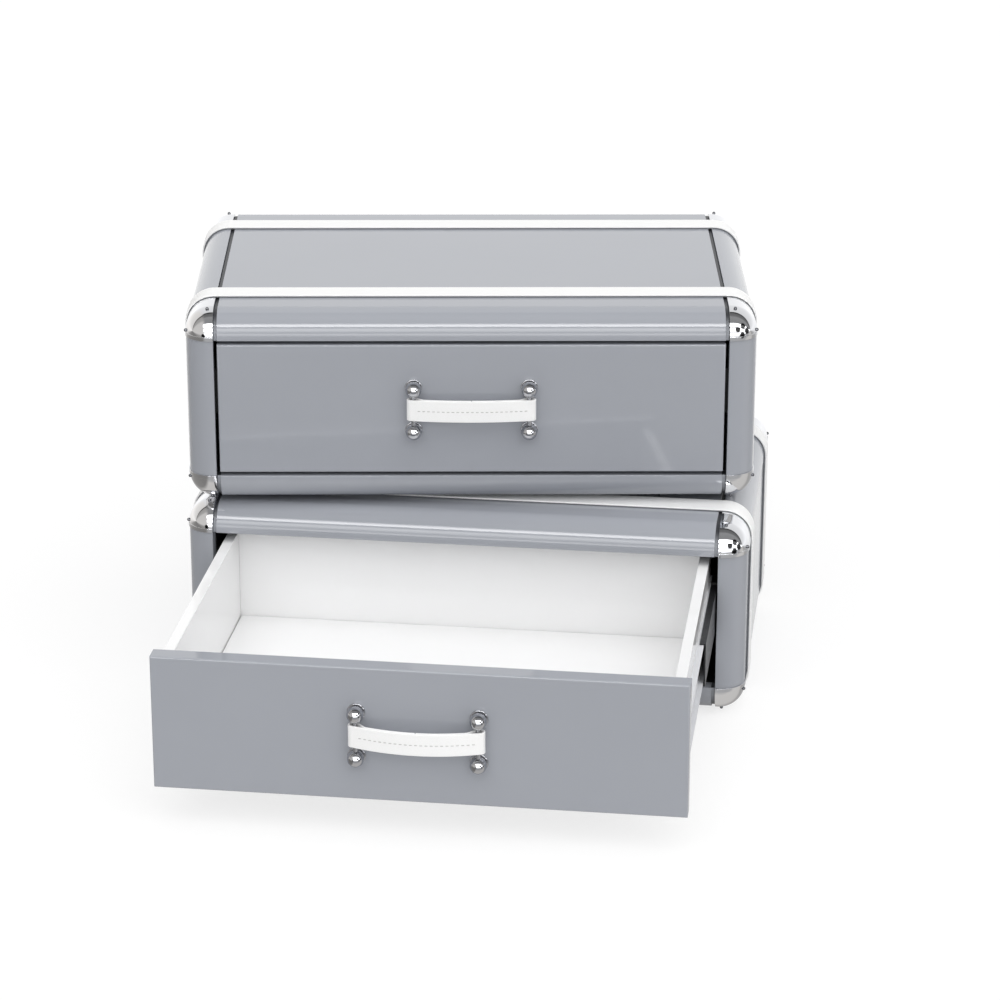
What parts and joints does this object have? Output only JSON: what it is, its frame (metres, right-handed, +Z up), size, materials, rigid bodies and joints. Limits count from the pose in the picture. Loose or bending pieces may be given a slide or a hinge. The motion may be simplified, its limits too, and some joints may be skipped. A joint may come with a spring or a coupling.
{
  "type": "nightstand",
  "caption": "Nightstand of two grey trunk-style drawer cases stacked askew, with chrome corners, white leather belts and leather drawer handles.",
  "frame": {"origin": "centre of the base plate's underside, on the floor", "axes": "+Z up, -Y the lower case's front, +X its right side seen from the front"},
  "size_m": [0.6475, 0.8018, 0.4329],
  "materials": {
    "grey_lacquer": "high-gloss grey lacquer on board",
    "chrome": "polished chrome plate",
    "white_leather": "smooth white leather",
    "black_board": "matt black board",
    "black_steel": "black coated steel",
    "white_steel": "white coated steel",
    "white_lacquer": "gloss white lacquer on board",
    "dark_nickel": "polished dark nickel plate",
    "zinc_steel": "zinc-plated steel"
  },
  "bodies": {
    "cabinet": {"lower_top_panel": "grey_lacquer", "lower_bottom_panel": "grey_lacquer", "lower_back_panel": "grey_lacquer", "lower_left_side_panel": "grey_lacquer", "lower_right_side_panel": "grey_lacquer", "lower_posts": "grey_lacquer", "lower_side_rails": "grey_lacquer", "lower_front_corners": "chrome", "lower_rear_corners": "chrome", "lower_corner_rivets": "dark_nickel", "lower_front_belt": "white_leather", "lower_rear_belt": "white_leather", "lower_liner_top": "black_board", "lower_liner_bottom": "black_board", "lower_liner_sides": "black_board", "lower_liner_back": "black_board", "lower_fixed_runners": "black_steel", "upper_top_panel": "grey_lacquer", "upper_bottom_panel": "grey_lacquer", "upper_back_panel": "grey_lacquer", "upper_left_side_panel": "grey_lacquer", "upper_right_side_panel": "grey_lacquer", "upper_posts": "grey_lacquer", "upper_side_rails": "grey_lacquer", "upper_front_corners": "chrome", "upper_rear_corners": "chrome", "upper_corner_rivets": "dark_nickel", "upper_front_belt": "white_leather", "upper_rear_belt": "white_leather", "upper_liner_top": "black_board", "upper_liner_bottom": "black_board", "upper_liner_sides": "black_board", "upper_liner_back": "black_board", "upper_fixed_runners": "black_steel", "base_plate": "black_board", "joining_plate": "black_board", "stack_bolts": "zinc_steel", "stack_nuts": "zinc_steel"},
    "lower_drawer": {"lower_drawer_front": "grey_lacquer", "lower_drawer_left_side": "white_lacquer", "lower_drawer_right_side": "white_lacquer", "lower_drawer_back": "white_lacquer", "lower_drawer_bottom": "white_lacquer", "lower_drawer_runners": "white_steel", "lower_handle_grip": "white_leather", "lower_handle_bars": "chrome", "lower_handle_bosses": "chrome", "lower_handle_screws": "zinc_steel"},
    "lower_middle_runners": {"lower_middle_runners": "black_steel"},
    "upper_drawer": {"upper_drawer_front": "grey_lacquer", "upper_drawer_left_side": "white_lacquer", "upper_drawer_right_side": "white_lacquer", "upper_drawer_back": "white_lacquer", "upper_drawer_bottom": "white_lacquer", "upper_drawer_runners": "white_steel", "upper_handle_grip": "white_leather", "upper_handle_bars": "chrome", "upper_handle_bosses": "chrome", "upper_handle_screws": "zinc_steel"},
    "upper_middle_runners": {"upper_middle_runners": "black_steel"}
  },
  "joints": [
    {"name": "lower_drawer_slide", "type": "slide", "parent": "cabinet", "child": "lower_drawer", "axis": [0, -1, 0], "range_m": [-0.322, 0.028]},
    {"name": "lower_runner_slide", "type": "slide", "parent": "cabinet", "child": "lower_middle_runners", "axis": [0, -1, 0], "range_m": [-0.161, 0.014]},
    {"name": "upper_drawer_slide", "type": "slide", "parent": "cabinet", "child": "upper_drawer", "axis": [0.1357, -0.9907, 0], "range_m": [0, 0.35]},
    {"name": "upper_runner_slide", "type": "slide", "parent": "cabinet", "child": "upper_middle_runners", "axis": [0.1357, -0.9907, 0], "range_m": [0, 0.175]}
  ],
  "couplings": [
    {"joint": "lower_runner_slide", "follows": "lower_drawer_slide", "ratio": 0.5},
    {"joint": "upper_runner_slide", "follows": "upper_drawer_slide", "ratio": 0.5}
  ]
}
